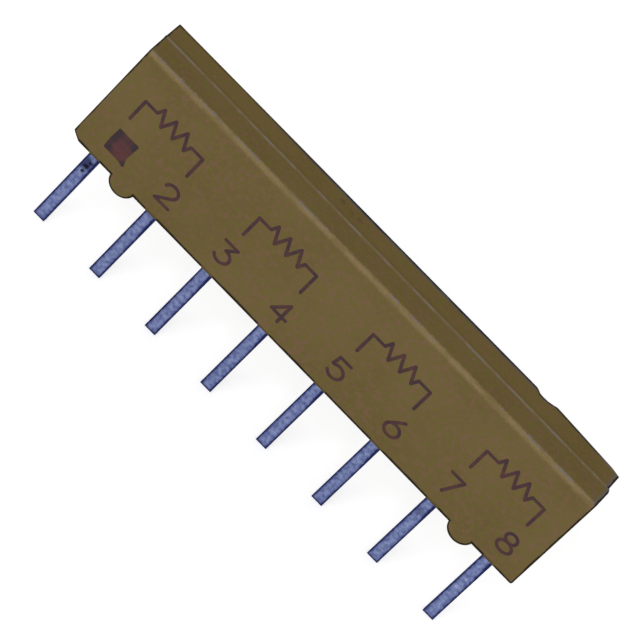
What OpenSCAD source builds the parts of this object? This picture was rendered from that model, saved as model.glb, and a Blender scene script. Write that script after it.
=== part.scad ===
// Moulded single-in-line resistor network with flat leads.
// The leads hang down along -Z in one row along X, with lead 1 at the -X end.
// The marked face looks along -Y, the leads and the parting line lie on y = 0,
// and z = 0 is the seating plane, where the standoffs meet the board.

/* [Leads] */
// Number of leads in the row
lead_count = 8; // [4:2:14]
// Distance between neighbouring leads
lead_pitch = 2.54; // [2.2:0.01:3]
// Width of a lead outside the body
lead_w = 0.46; // [0.3:0.01:0.6]
// Thickness of the lead strip
lead_t = 0.25; // [0.15:0.01:0.35]
// Length of a lead below the seating plane
lead_l = 3.57; // [2:0.01:6]
// Width of the paddle that is soldered to the substrate
paddle_w = 1.05; // [0.7:0.01:1.5]
// Height of the paddle
paddle_h = 1; // [0.6:0.01:1.3]
// Radius of the paddle's upper corners
paddle_r = 0.2; // [0.05:0.01:0.3]

/* [Moulding] */
// Height of the moulding at its parting line, without the standoffs
body_h = 4.57; // [4:0.01:8]
// Epoxy in front of the leads
front_cover = 0.975; // [0.4:0.005:2]
// Epoxy behind the substrate
rear_cover = 0.355; // [0.2:0.005:1]
// Epoxy beyond each end of the substrate
end_cover = 0.335; // [0.3:0.005:1]
// Epoxy below the substrate
bottom_cover = 0.65; // [0.5:0.01:1]
// Epoxy above the substrate
top_cover = 0.62; // [0.4:0.01:1]
// Draft of the top and the bottom, in degrees from the pull of the mould
draft = 2; // [1:0.1:6]
// Draft of the two ends, in degrees
end_draft = 0.3; // [0.1:0.1:3]
// Radius along the top edge of the front face
top_edge_r = 0.16; // [0.05:0.01:0.3]
// Radius along the other long edges of the front and rear faces
edge_r = 0.06; // [0.03:0.01:0.3]
// Bevel along the short edges of the front and rear faces
end_bevel = 0.05; // [0.02:0.01:0.2]
// How far the corners between those edges are rubbed back
corner_rub = 0.1; // [0.05:0.01:0.2]
// Width of the flash line left by the two halves of the mould
flash_w = 0.06; // [0.03:0.01:0.12]
// How far the flash line stands out
flash_out = 0.01; // [0.01:0.005:0.05]
// How much shorter the rear half is at the last end
rear_short = 0.08; // [0.01:0.01:0.15]
// How far the rear face is turned, in degrees, which makes the moulding thicker towards the last end
rear_turn = 0.4; // [0.1:0.05:0.6]

/* [Standoffs] */
// Radius of the two half-round standoffs
standoff_r = 0.52; // [0.45:0.01:0.8]
// Height of the standoffs below the moulding
standoff_h = 0.35; // [0.2:0.01:0.45]

/* [Insert] */
// Thickness of the ceramic substrate
substrate_t = 0.635; // [0.4:0.005:1]
// Bare ceramic between the printed conductors and the substrate's edge
print_margin = 0.07; // [0.05:0.01:0.2]
// Thickness of the printed conductor
conductor_t = 0.02; // [0.01:0.005:0.05]
// Width of the conductor strip that rises from each pad
riser_w = 0.5; // [0.3:0.01:0.7]
// Thickness of the printed resistor film
film_t = 0.02; // [0.01:0.005:0.05]
// How far a film laps onto each riser
film_lap = 0.15; // [0.05:0.01:0.25]
// Bare gap between a pad and the film above it
film_gap = 0.2; // [0.15:0.01:0.4]
// Width of the laser trim cut in a film
trim_w = 0.06; // [0.03:0.01:0.15]
// Length of the laser trim cut
trim_l = 0.6; // [0.2:0.01:0.8]
// Thickness of the glass coat over the films
glaze_t = 0.02; // [0.01:0.005:0.05]
// How far the glass coat reaches past the films and risers
glaze_lap = 0.04; // [0.02:0.01:0.06]
// Width of the solder's foot round a paddle
solder_foot = 0.1; // [0.06:0.01:0.2]
// Height of the solder's fillet up the side of a paddle
solder_h = 0.18; // [0.08:0.01:0.2]
// Width of the solder's blunt top round a paddle
solder_lip = 0.03; // [0.01:0.01:0.05]

/* [Wear] */
// Length along the bottom edge of the chip beside lead 1
chip_l = 0.39; // [0.1:0.01:0.5]
// Height of that chip up the end
chip_h = 0.24; // [0.1:0.01:0.5]
// Depth of that chip behind the front face
chip_d = 0.6; // [0.2:0.01:0.9]
// Distance from the last end to the nick in the rear top edge
nick_from_end = 2.83; // [1.5:0.01:6]
// Length of the nick
nick_l = 1.05; // [0.4:0.01:1.4]
// Depth of the nick below the sharp edge
nick_d = 0.12; // [0.05:0.005:0.25]
// How far the nick and the wear reach in over the top
worn_reach = 0.3; // [0.25:0.01:0.5]
// Length of rear top edge that is worn away towards the last end
worn_l = 3.3; // [1:0.1:6]
// Depth of that wear at the last end
worn_d = 0.17; // [0.05:0.005:0.2]
// Length of the deeper wear at the rear corner
corner_l = 0.84; // [0.3:0.01:1]
// Depth of the deeper wear at the rear corner
corner_d = 0.245; // [0.205:0.005:0.3]
// How far the front half's top corner is rubbed back along the row, at the last end of the parting line
step_l = 0.06; // [0.03:0.005:0.07]
// How far that corner is rubbed back along the end
step_d = 0.4; // [0.2:0.01:0.6]
// How far that corner is rubbed down
step_h = 0.12; // [0.05:0.01:0.3]

/* [Hidden] */
$fn = 48;
// How far a cut runs past the face that it opens
over = 0.5;

// Row of leads
row_l = (lead_count - 1) * lead_pitch;
function lead_x(i) = (i - 1) * lead_pitch - row_l / 2;

// Printed pads, and the substrate that carries them
pad_w = paddle_w + 2 * solder_foot;
pad_h = paddle_h + 2 * solder_foot;
substrate_l = row_l + pad_w + 2 * print_margin;
substrate_z0 = standoff_h + bottom_cover;
substrate_z1 = standoff_h + body_h - top_cover;
pad_y = lead_t / 2;
substrate_y = pad_y + conductor_t;
pad_z0 = substrate_z0 + print_margin;
pad_z1 = pad_z0 + pad_h;
riser_z1 = substrate_z1 - print_margin;
paddle_z0 = pad_z0 + solder_foot;
paddle_z1 = paddle_z0 + paddle_h;
shoulder_z0 = paddle_z0 - (paddle_w - lead_w) / 2;
film_z0 = pad_z1 + film_gap;
film_y = pad_y - film_t;
glaze_y = film_y - glaze_t;

// Moulding
front_t = pad_y + front_cover;
rear_t = substrate_y + substrate_t + rear_cover;
body_l = substrate_l + 2 * end_cover;
body_z0 = standoff_h;
body_z1 = standoff_h + body_h;
standoff_x = (row_l - lead_pitch) / 2;

// Sharp corners of the moulding, before they are rounded, chipped or worn
chip_at = [front_t * tan(end_draft) - body_l / 2, -front_t, body_z0 + front_t * tan(draft)];
worn_at = [body_l / 2 - rear_short - rear_t * tan(end_draft), rear_t, body_z1 - rear_t * tan(draft)];
// Outline of the nick, as shares of its length and its depth
nick_shape = [[0, 0], [0.15, 0.38], [0.28, 0.88], [0.42, 1], [0.6, 0.92], [0.82, 0.55], [1, 0]];

// Colours
epoxy_colour = [0.43, 0.365, 0.23];
tin_colour = [0.44, 0.48, 0.6];
ceramic_colour = [0.92, 0.91, 0.87];
silver_colour = [0.75, 0.74, 0.71];
film_colour = [0.12, 0.12, 0.13];
glaze_colour = [0.2, 0.33, 0.27];
solder_colour = [0.66, 0.67, 0.69];

// Unit vector from one point to another
function toward(from, to) = (to - from) / norm(to - from);

// Half of the angle between the two sides that meet at a corner
function half_angle(before, corner, after) =
    acos(toward(corner, before) * toward(corner, after)) / 2;

// Centre of the arc that rounds a corner
function arc_centre(before, corner, after, r) =
    let (middle = toward(corner, before) + toward(corner, after))
    corner + middle / norm(middle) * r / sin(half_angle(before, corner, after));

// A corner's sharp tip, from the arc's centre to well outside the outline
module corner_tip(before, corner, after, r) {
    reach = r / tan(half_angle(before, corner, after));
    centre = arc_centre(before, corner, after, r);
    ends = [corner + reach * toward(corner, after), corner + reach * toward(corner, before)];
    polygon([for (p = [centre, ends[0], corner, ends[1]]) 2 * p - centre]);
}

// An outline with a radius at each corner, where 0 leaves the corner sharp
module rounded_outline(points, radii) {
    n = len(points);
    round_corners = [for (i = [0 : n - 1]) if (radii[i] > 0) i];
    function before(i) = points[(i + n - 1) % n];
    function after(i) = points[(i + 1) % n];
    difference() {
        polygon(points);
        for (i = round_corners) corner_tip(before(i), points[i], after(i), radii[i]);
    }
    for (i = round_corners) {
        translate(arc_centre(before(i), points[i], after(i), radii[i])) circle(r = radii[i]);
    }
}

// Extrudes an outline drawn in X and Z along Y
module along_y(y0, y1) {
    translate([0, y1, 0]) rotate([90, 0, 0]) linear_extrude(y1 - y0) children();
}

// Extrudes an outline drawn in Y and Z along X
module along_x(x0, x1) {
    translate([x0, 0, 0]) rotate([90, 0, 90]) linear_extrude(x1 - x0) children();
}

// Extrudes an outline drawn in X and Y along Z
module along_z(z0, z1) {
    translate([0, 0, z0]) linear_extrude(z1 - z0) children();
}

// Outline of one end in the top view, from the parting plane to past the face at y = t
function end_outline(x, t) =
    let (lean = (t - end_bevel) * tan(end_draft))
    [[x, 0], [x - lean, t - end_bevel], [x - lean - end_bevel - over, t + over]];

// Where the face of a half lies at one end, at the first end for -1 and at the last end for 1
function face_y(way, t, turn) = t / cos(turn) + way * body_l / 2 * tan(turn);

// Sharp lower corner of the face of a half at one end
function face_corner(way, t, short, turn) = [
    way * (body_l / 2 - t * tan(end_draft)) - (way > 0 ? short : 0),
    face_y(way, t, turn),
    body_z0 + t * tan(draft),
];

// One drafted half of the moulding, shorter at the last end, from the parting plane to its turned face
module mould_half(t, top_r, short, turn) {
    inset = t * tan(draft);
    x = body_l / 2;
    root = [[-over, body_z1], [-over, body_z0]];
    side_view = [[0, body_z0], [t, body_z0 + inset], [t, body_z1 - inset], [0, body_z1]];
    last_end = end_outline(x - short, face_y(1, t, turn));
    first_end = end_outline(x, face_y(-1, t, turn));
    first_side = [for (i = [2 : -1 : 0]) [-first_end[i].x, first_end[i].y]];
    difference() {
        intersection() {
            rotate([0, 0, turn]) along_x(-x - over, x + over)
                rounded_outline(concat(side_view, root), [0, edge_r, top_r, 0, 0, 0]);
            along_z(body_z0 - over, body_z1 + over) polygon(concat(last_end, first_side));
        }
        for (way = [-1, 1]) corner_facet(face_corner(way, t, short, turn), corner_rub * [-way, -1, 1]);
    }
}

// The rear half, with its worn top edge
module rear_half() {
    difference() {
        mould_half(rear_t, edge_r, rear_short, rear_turn);
        rotate([0, 0, rear_turn]) {
            corner_facet(worn_at, -[worn_l, worn_reach, worn_d]);
            corner_facet(worn_at, -[corner_l, worn_reach, corner_d]);
            rear_nick();
        }
    }
}

// The thin line of flash on one half, where the halves of the mould met
module flash_line(short) {
    x = body_l / 2 + flash_out;
    along_y(0, flash_w / 2) translate([-x, body_z0 - flash_out])
        square([2 * x - short, body_h + 2 * flash_out]);
}

// The front half, drawn towards +Y, with the corner that stands proud of the rear half rubbed back
module front_half() {
    difference() {
        union() {
            mould_half(front_t, top_edge_r, 0, 0);
            flash_line(0);
        }
        corner_facet([body_l / 2 + flash_out, 0, body_z1 + flash_out], [-step_l, step_d, -step_h]);
    }
}

// The two half-round standoffs, right through from face to face
module standoffs() {
    difference() {
        along_y(-front_t, rear_t + over) {
            for (x = [-standoff_x, standoff_x]) translate([x, standoff_r]) circle(r = standoff_r);
        }
        rotate([0, 0, rear_turn]) translate([-body_l / 2, rear_t, -over]) cube([body_l, 2 * over, body_h]);
    }
}

// Cuts off a corner by the plane that meets its edges at three distances along X, Y and Z
module corner_facet(corner, reach) {
    outward = -[1 / reach.x, 1 / reach.y, 1 / reach.z];
    size = 4 * norm(reach);
    translate(corner + [reach.x, 0, 0])
        rotate([0, acos(outward.z / norm(outward)), atan2(outward.y, outward.x)])
        translate([-size / 2, -size / 2, 0])
        cube(size);
}

// The nick in the rear top edge: steep towards lead 1, gentle towards the last end
module rear_nick() {
    translate(worn_at - [nick_from_end + nick_l, 0, 0])
        rotate([-atan(nick_d / worn_reach), 0, 0])
        along_y(-2 * worn_reach, over)
        polygon([
            [0, over],
            for (share = nick_shape) [share.x * nick_l, -share.y * nick_d],
            [nick_l, over],
        ]);
}

// The outside of the moulding, with its chip and its worn edge
module moulding_outside() {
    difference() {
        union() {
            mirror([0, 1, 0]) front_half();
            rear_half();
            flash_line(rear_short);
            standoffs();
        }
        corner_facet(chip_at, [chip_l, chip_d, chip_h]);
    }
}

// The solder over one pad, before the lead is cut out of it
module solder_mound(i) {
    top_w = paddle_w + 2 * solder_lip;
    top_h = paddle_h + 2 * solder_lip;
    middle_z = (paddle_z0 + paddle_z1) / 2;
    top_y = pad_y - solder_h;
    intersection() {
        translate([lead_x(i), 0, 0]) along_z(pad_z0 - over, pad_z1 + over)
            polygon([[-pad_w / 2, pad_y], [-top_w / 2, top_y], [top_w / 2, top_y], [pad_w / 2, pad_y]]);
        translate([lead_x(i), 0, middle_z]) along_x(-pad_w, pad_w)
            polygon([[pad_y, -pad_h / 2], [pad_y, pad_h / 2], [top_y, top_h / 2], [top_y, -top_h / 2]]);
    }
}

// The glass coat's block, before the prints under it are cut out
module glaze_block() {
    x = row_l / 2 + riser_w / 2 + glaze_lap;
    translate([-x, glaze_y, film_z0 - glaze_lap])
        cube([2 * x, substrate_y - glaze_y, riser_z1 - film_z0 + 2 * glaze_lap]);
}

// Everything that the epoxy is moulded round
module insert() {
    substrate();
    glaze_block();
    for (i = [1 : lead_count]) {
        lead(i);
        conductor(i);
        solder_mound(i);
    }
}

module moulded_body() {
    color(epoxy_colour) difference() {
        moulding_outside();
        insert();
    }
}

module substrate() {
    color(ceramic_colour) translate([-substrate_l / 2, substrate_y, substrate_z0])
        cube([substrate_l, substrate_t, substrate_z1 - substrate_z0]);
}

module lead(i) {
    w = lead_w / 2;
    p = paddle_w / 2;
    right_side = [[w, -lead_l], [w, shoulder_z0], [p, paddle_z0], [p, paddle_z1]];
    left_side = [[-p, paddle_z1], [-p, paddle_z0], [-w, shoulder_z0], [-w, -lead_l]];
    color(tin_colour) translate([lead_x(i), 0, 0]) along_y(-lead_t / 2, lead_t / 2)
        rounded_outline(concat(right_side, left_side), [0, 0, 0, paddle_r, paddle_r, 0, 0, 0]);
}

module conductor(i) {
    color(silver_colour) translate([lead_x(i), 0, 0]) along_y(pad_y, substrate_y) {
        translate([-pad_w / 2, pad_z0]) square([pad_w, pad_h]);
        translate([-riser_w / 2, pad_z0]) square([riser_w, riser_z1 - pad_z0]);
    }
}

module solder_joint(i) {
    color(solder_colour) difference() {
        solder_mound(i);
        lead(i);
    }
}

// The film between the risers of leads 2k - 1 and 2k, with its trim cut from above
module resistor_film(k) {
    x0 = lead_x(2 * k - 1) + riser_w / 2 - film_lap;
    x1 = lead_x(2 * k) - riser_w / 2 + film_lap;
    color(film_colour) difference() {
        translate([x0, film_y, film_z0]) cube([x1 - x0, substrate_y - film_y, riser_z1 - film_z0]);
        translate([(x0 + x1 - trim_w) / 2, film_y - over, riser_z1 - trim_l])
            cube([trim_w, substrate_y - film_y + 2 * over, trim_l + over]);
        conductor(2 * k - 1);
        conductor(2 * k);
    }
}

module overglaze() {
    color(glaze_colour) difference() {
        glaze_block();
        for (i = [1 : lead_count]) conductor(i);
        for (k = [1 : lead_count / 2]) resistor_film(k);
    }
}

moulded_body();
substrate();
overglaze();
for (i = [1 : lead_count]) {
    lead(i);
    conductor(i);
    solder_joint(i);
}
for (k = [1 : lead_count / 2]) {
    resistor_film(k);
}
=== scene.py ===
"""Looks of a moulded single-in-line resistor network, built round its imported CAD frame."""

import math
from types import SimpleNamespace

import bmesh
import bpy
from bpy.props import FloatProperty, FloatVectorProperty, PointerProperty
from mathutils import Matrix, Vector
from mathutils.geometry import delaunay_2d_cdt


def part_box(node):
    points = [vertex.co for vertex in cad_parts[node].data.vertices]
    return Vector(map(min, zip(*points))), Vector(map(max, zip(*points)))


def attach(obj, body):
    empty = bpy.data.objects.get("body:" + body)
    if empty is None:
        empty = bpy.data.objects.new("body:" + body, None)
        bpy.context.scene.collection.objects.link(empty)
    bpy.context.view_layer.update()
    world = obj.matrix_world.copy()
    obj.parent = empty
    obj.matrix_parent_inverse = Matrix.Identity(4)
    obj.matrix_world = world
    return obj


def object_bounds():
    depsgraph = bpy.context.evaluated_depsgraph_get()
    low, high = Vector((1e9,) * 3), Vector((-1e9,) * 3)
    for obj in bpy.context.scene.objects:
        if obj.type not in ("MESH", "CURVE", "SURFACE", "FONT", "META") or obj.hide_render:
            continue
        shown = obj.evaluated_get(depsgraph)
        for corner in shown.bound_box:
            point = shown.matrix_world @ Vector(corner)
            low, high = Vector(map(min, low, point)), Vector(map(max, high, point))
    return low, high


bl_info = {
    "name": "Resistor Network Looks",
    "version": (1, 0, 0),
    "blender": (4, 5, 0),
    "location": "3D View > Sidebar > Network",
    "description": "Finishes, prints and lights a moulded single-in-line resistor network",
    "category": "Object",
}

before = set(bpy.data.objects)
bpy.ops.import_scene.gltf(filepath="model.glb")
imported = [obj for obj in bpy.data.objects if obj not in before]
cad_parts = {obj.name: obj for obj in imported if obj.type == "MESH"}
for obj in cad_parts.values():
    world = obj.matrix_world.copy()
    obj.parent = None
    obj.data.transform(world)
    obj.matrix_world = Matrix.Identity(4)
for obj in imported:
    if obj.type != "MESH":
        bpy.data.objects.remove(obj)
CAD_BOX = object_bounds()
FRONT_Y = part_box("moulded_body")[0].y
MM = 0.001
LEAD_COUNT = 8
LEADS = [f"lead_{i}" for i in range(1, LEAD_COUNT + 1)]


def middle_x(node):
    """Where the middle of a CAD node lies along the row."""
    low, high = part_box(node)
    return (low.x + high.x) / 2


LEAD_X = [middle_x(lead) for lead in LEADS]
PITCH = (LEAD_X[-1] - LEAD_X[0]) / (LEAD_COUNT - 1)
STANDOFF_X = (LEAD_X[-1] - LEAD_X[0] - PITCH) / 2
LEAD_LOW, LEAD_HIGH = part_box("lead_1")


def from_screen(red, green, blue):
    """A screen colour, 0 to 255 a channel, as the linear colour that the shaders take."""
    shares = [channel / 255 for channel in (red, green, blue)]
    return tuple(s / 12.92 if s <= 0.04045 else ((s + 0.055) / 1.055) ** 2.4 for s in shares)


def colour(name, description, screen):
    """A colour that a user may change, given as a screen colour."""
    return FloatVectorProperty(
        name=name, description=description, subtype="COLOR", size=3, min=0, max=1,
        default=from_screen(*screen),
    )


def length(name, description, millimetres):
    """A length that a user may change, given in millimetres."""
    return FloatProperty(
        name=name, description=description, unit="LENGTH", subtype="DISTANCE", precision=6,
        default=millimetres * MM,
    )


def lengths(name, description, millimetres, subtype="XYZ"):
    """Three lengths, one for each axis, that a user may change, given in millimetres."""
    return FloatVectorProperty(
        name=name, description=description, unit="LENGTH", subtype=subtype, size=3, precision=6,
        default=tuple(value * MM for value in millimetres),
    )


def angle(name, description, degrees):
    """An angle that a user may change, given in degrees."""
    return FloatProperty(
        name=name, description=description, subtype="ANGLE", default=math.radians(degrees)
    )


def factor(name, description, default, **kind):
    """A number that a user may change."""
    return FloatProperty(name=name, description=description, default=default, **kind)


class MouldingLook(bpy.types.PropertyGroup):
    """Finish of the moulded epoxy"""

    epoxy: colour("Epoxy", "Colour of the epoxy", (112, 96, 60))
    epoxy_shade: colour("Shaded epoxy", "Darker cloud in the epoxy", (104, 88, 53))
    red_fleck: colour("Red fleck", "Reddish grain in the epoxy", (120, 91, 71))
    green_fleck: colour("Green fleck", "Greenish grain in the epoxy", (104, 98, 46))
    # Painted shade: the top tint makes the top warmer and darker than the front
    top_painted_shade: colour("Top tint", "Warmer cast of the top", (255, 251, 233))
    # Painted highlight: the rubbed edge colour is partly wear and partly a painted highlight; the
    # grey line colour is partly scuff and partly a painted glint
    rubbed_and_highlight: colour("Rubbed edge", "Pale bloom along the top edge of the front", (132, 114, 78))
    scuff_and_glint: colour("Scuff", "Grey line along that edge", (122, 113, 112))
    flash: colour("Flash line", "Colour of the line where the mould halves met", (132, 119, 96))
    # The worn colour is wear on the worn cuts, and a painted highlight on the top beside the last
    # end
    worn: colour("Worn edge", "Grey bloom on the worn edges of the top", (102, 95, 94))
    # Painted sheen: the haze is a bluish sheen painted along the rear edge of the top
    haze: colour("Haze", "Bluish haze along the rear edge of the top", (74, 80, 92))
    # Painted shade: the two dark colours below make a rim of shade along the edges, bluish on the
    # rear; the first also paints a shadow strip behind the flash line, the second also some smudges
    # on the top
    edge_shade_colour: colour("Soiled edge", "Grime along the outer edges", (24, 20, 12))
    rear_edge_shade_and_smudge: colour("Soiled rear edge", "Bluish grime along the rear edges", (22, 26, 42))
    grain: length("Grain", "Size of the grain in the epoxy", 0.08)
    fleck: length("Fleck", "Size of the red and green flecks", 0.17)
    cloud: length("Cloud", "Size of the darker clouds in the epoxy", 2.6)
    scuffs: length("Scuffs", "Size of the scuffs", 0.32)
    # The rim below is the width of that painted edge shade
    rim: length("Soiled rim", "Width of the grime along the edges", 0.045)
    body_length: length("Body length", "Length of the moulding at its parting line", 19.84)
    body_top: length("Body top", "Height of the front half's top at the parting line", 4.92)
    body_bottom: length("Body bottom", "Height of the bottom at the parting line", 0.35)
    draft_slope: factor("Draft", "Lean of the top and the bottom to each face", 0.0349)
    end_slope: factor("End draft", "Lean of the ends towards each face", 0.0052)
    rear_short: length("Rear short", "How much shorter the rear half is at the last end", 0.08)
    rear_depth: length("Rear depth", "From the leads to the middle of the rear face", 1.135)
    rear_slope: factor("Rear slope", "Slope of the rear face along the row", 0.00698)
    edge_radius: length("Edge radius", "Radius along the long edges but the front's top", 0.06)
    standoff_radius: length("Standoff radius", "Radius of the half-round standoffs", 0.52)
    chip: lengths("Chip", "Reach of the chip beside lead 1 along its edges", (0.39, 0.6, 0.24))
    wear: lengths("Wear", "Reach of the wear on the rear top edge", (-3.3, -0.3, -0.17))
    corner_wear: lengths(
        "Corner wear", "Reach of the deeper wear at the rear corner", (-0.84, -0.3, -0.245)
    )
    nick_x: length("Nick along", "Middle of the nick in the rear top edge along the row", 6.48)
    nick_length: length("Nick length", "Length of the nick", 1.05)
    nick_depth: length("Nick depth", "Depth of the nick", 0.12)


class LeadLook(bpy.types.PropertyGroup):
    """Finish of the tinned leads"""

    # The bluish cast of the tin colours is a painted reflection
    tin: colour("Tin", "Colour of the tin", (135, 146, 186))
    # Shaded tin also darkens the band along the edges as painted shade
    tin_shade: colour("Shaded tin", "Duller patches in the tin", (79, 90, 138))
    # The tarnish colour paints a rim of shade along the sheared edges, and colours some dark spots
    # on lead 1
    tarnish_and_edge_shade: colour("Tarnish", "Tarnish along the sheared edges", (22, 28, 76))
    speck: colour("Speck", "Specks of dirt and flux", (20, 20, 34))
    smudge: colour("Smudge", "Smudged tin round the specks", (34, 38, 74))
    bright: colour("Bright fleck", "Bright flecks in the tin", (152, 160, 192))
    grain: length("Grain", "Size of the crystals in the tin", 0.06)
    patch: length("Patch", "Size of the duller patches", 0.14)
    # The rim below is the width of the painted shade along the edges
    rim: length("Tarnished rim", "Width of the tarnish along the edges", 0.09)
    round_over: length("Rounded edge", "Width of the rounding on the sheared edges", 0.02)
    width: length("Lead width", "Width of a lead outside the body", 0.46)


class MarkingLook(bpy.types.PropertyGroup):
    """Printed marking on the front face"""

    ink: colour("Ink", "Colour of the ink", (82, 50, 48))
    ink_shade: colour("Heavy ink", "Ink where it lies thicker", (54, 36, 42))
    ink_heavy: colour("Pooled ink", "Ink pooled at the corners of the square", (44, 34, 40))
    ink_thin: colour("Thin ink", "Ink in the middle of the square, where it is thin", (90, 49, 47))
    cloud: length("Ink cloud", "Size of the thicker places in the ink", 0.34)
    streak: length("Ink streak", "Width of the streaks in the ink", 0.07)
    stroke: length("Stroke", "Width of a printed stroke", 0.115)
    figure_height: length("Figure height", "Height of a printed figure", 0.82)
    figure_foot: length("Figure foot", "Height of the figures' foot over the seating plane", 1.05)
    square: length("Square", "Side of the square beside lead 1", 0.85)
    square_x: length("Square along", "Middle of the square along the row", -8.45)
    square_z: length("Square height", "Middle of the square over the seating plane", 1.46)
    square_round: length("Square corner", "Rounding of the square's corners", 0.05)
    symbol_foot: length("Symbol foot", "Height of the symbols' legs over the seating plane", 2.5)
    symbol_line: length("Symbol line", "Height of the symbols' line over the seating plane", 3.4)
    symbol_swing: length("Symbol swing", "How far a zigzag swings from its line", 0.3)
    ink_film: length("Ink film", "How far the ink stands on the face", 0.006)
    ink_key: length("Ink key", "How far the ink sinks into the face", 0.003)


class StageLook(bpy.types.PropertyGroup):
    """Floor, light and camera"""

    floor: colour("Floor", "Colour of the floor", (231, 231, 231))
    floor_glow: factor("Floor glow", "Lift of the floor to white in the picture", 0.53)
    floor_reach: length("Floor reach", "From the middle of the floor to its sides", 1500)
    room: factor("Room light", "Level of the light from all round", 0.515)
    key: factor("Key light", "Power of the soft lamp", 0.31, unit="POWER")
    key_size: length("Key size", "Side of the soft lamp", 160)
    key_distance: length("Key distance", "Distance of the soft lamp", 250)
    key_elevation: angle("Key elevation", "Height of the soft lamp", 30)
    key_turn: angle("Key turn", "How far the soft lamp stands to the left", 8)
    lens: factor("Lens", "Focal length, in millimetres, on a 36 mm frame", 373.87)
    camera_distance: length("Camera distance", "From the camera to what it looks at", 209.278)
    camera_elevation: angle("Camera elevation", "Height of the camera", 36.7162)
    camera_turn: angle("Camera turn", "Camera's turn round the part", -0.285)
    camera_roll: angle("Camera roll", "Camera's roll about its line of sight", 45.5262)
    target: lengths(
        "Target", "The point in the middle of the picture", (-0.2299, 0, 1.484), "TRANSLATION"
    )


def put(tree, kind, inputs=None, **settings):
    """Adds a node, with its settings, and fills or links its inputs."""
    node = tree.nodes.new(kind)
    for name, value in settings.items():
        setattr(node, name, value)
    for key, value in (inputs or {}).items():
        if isinstance(value, bpy.types.NodeSocket):
            tree.links.new(value, node.inputs[key])
        else:
            node.inputs[key].default_value = value
    return node


def maths(tree, operation, first, *others):
    """Arithmetic on one number, or on more of them from left to right."""
    for other in others or (0.0,):
        first = put(tree, "ShaderNodeMath", {0: first, 1: other}, operation=operation).outputs[0]
    return first


def plus(tree, *values):
    """The sum of some numbers."""
    return maths(tree, "ADD", *values)


def minus(tree, *values):
    """The first number less the others."""
    return maths(tree, "SUBTRACT", *values)


def times(tree, *values):
    """The product of some numbers."""
    return maths(tree, "MULTIPLY", *values)


def least(tree, *values):
    """The least of some numbers."""
    return maths(tree, "MINIMUM", *values)


def most(tree, *values):
    """The most of some numbers."""
    return maths(tree, "MAXIMUM", *values)


def size_of(tree, value):
    """A number without its sign."""
    return maths(tree, "ABSOLUTE", value)


def vector_maths(tree, operation, first, second=(0, 0, 0), gives="Vector"):
    """One step of arithmetic on vectors."""
    node = put(tree, "ShaderNodeVectorMath", {0: first, 1: second}, operation=operation)
    return node.outputs[gives]


def ramp(tree, value, start, end, low=0.0, high=1.0):
    """Eases from low to high while value goes from start to end."""
    inputs = {"Value": value, "From Min": start, "From Max": end, "To Min": low, "To Max": high}
    return put(tree, "ShaderNodeMapRange", inputs, interpolation_type="SMOOTHSTEP").outputs[0]


def between(tree, share, low, high):
    """Eases from low to high by a share."""
    return ramp(tree, share, 0.0, 1.0, low, high)


def mixed(tree, share, first, second, blend="MIX"):
    """Goes from the first colour to the second, or to a blend of both, by share."""
    first, second = [
        c if isinstance(c, bpy.types.NodeSocket) else (*c, 1) for c in (first, second)
    ]
    inputs = {0: share, 6: first, 7: second}
    return put(tree, "ShaderNodeMix", inputs, data_type="RGBA", blend_type=blend).outputs[2]


def joined(tree, x, y, z):
    """A vector from three numbers."""
    return put(tree, "ShaderNodeCombineXYZ", {"X": x, "Y": y, "Z": z}).outputs[0]


def split(tree, position):
    """The three numbers of a position."""
    return put(tree, "ShaderNodeSeparateXYZ", {0: position}).outputs


def new_group(name, takes, gives):
    """An empty node group with named inputs and one named output."""
    tree = bpy.data.node_groups.new(name, "ShaderNodeTree")
    for label, value in takes.items():
        kind = "NodeSocketFloat" if isinstance(value, float) else "NodeSocketVector"
        socket = tree.interface.new_socket(name=label, in_out="INPUT", socket_type=kind)
        socket.default_value = value
    tree.interface.new_socket(name=gives, in_out="OUTPUT", socket_type="NodeSocketFloat")
    return tree, tree.nodes.new("NodeGroupInput").outputs, tree.nodes.new("NodeGroupOutput")


# Noise that becomes a tone of 0 and of 1, and the part of a rim's width that is full
NOISE_SPAN = (0.3, 0.7)
RIM_FULL = 0.3


def mottle_group():
    """Uneven tone from 0 to 1, at a given size, drawn out along the axes by stretch."""
    name = "mottle"
    if name not in bpy.data.node_groups:
        takes = {"Position": (0, 0, 0), "Size": MM, "Stretch": (1, 1, 1), "Detail": 3.0}
        tree, given, result = new_group(name, takes, "Tone")
        drawn = vector_maths(tree, "DIVIDE", given["Position"], given["Stretch"])
        scale = maths(tree, "DIVIDE", 1.0, given["Size"])
        inputs = {"Vector": drawn, "Scale": scale, "Detail": given["Detail"]}
        noise = put(tree, "ShaderNodeTexNoise", inputs)
        tree.links.new(ramp(tree, noise.outputs[0], *NOISE_SPAN), result.inputs["Tone"])
    return bpy.data.node_groups[name]


def rim_group():
    """Mask along an edge, from the distance to it, of uneven width."""
    name = "edge rim"
    if name not in bpy.data.node_groups:
        takes = {"Distance": 1.0, "Width": MM, "Uneven": 0.5}
        tree, given, result = new_group(name, takes, "Mask")
        reach = times(tree, given["Width"], plus(tree, given["Uneven"], 0.5))
        start = times(tree, reach, RIM_FULL)
        mask = ramp(tree, given["Distance"], start, reach, 1.0, 0.0)
        tree.links.new(mask, result.inputs["Mask"])
    return bpy.data.node_groups[name]


def spot_group():
    """Soft round mask at a place."""
    name = "spot"
    if name not in bpy.data.node_groups:
        takes = {"Position": (0, 0, 0), "Centre": (0, 0, 0), "Radius": MM}
        tree, given, result = new_group(name, takes, "Mask")
        away = vector_maths(tree, "DISTANCE", given["Position"], given["Centre"], "Value")
        mask = ramp(tree, away, 0.0, given["Radius"], 1.0, 0.0)
        tree.links.new(mask, result.inputs["Mask"])
    return bpy.data.node_groups[name]


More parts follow.
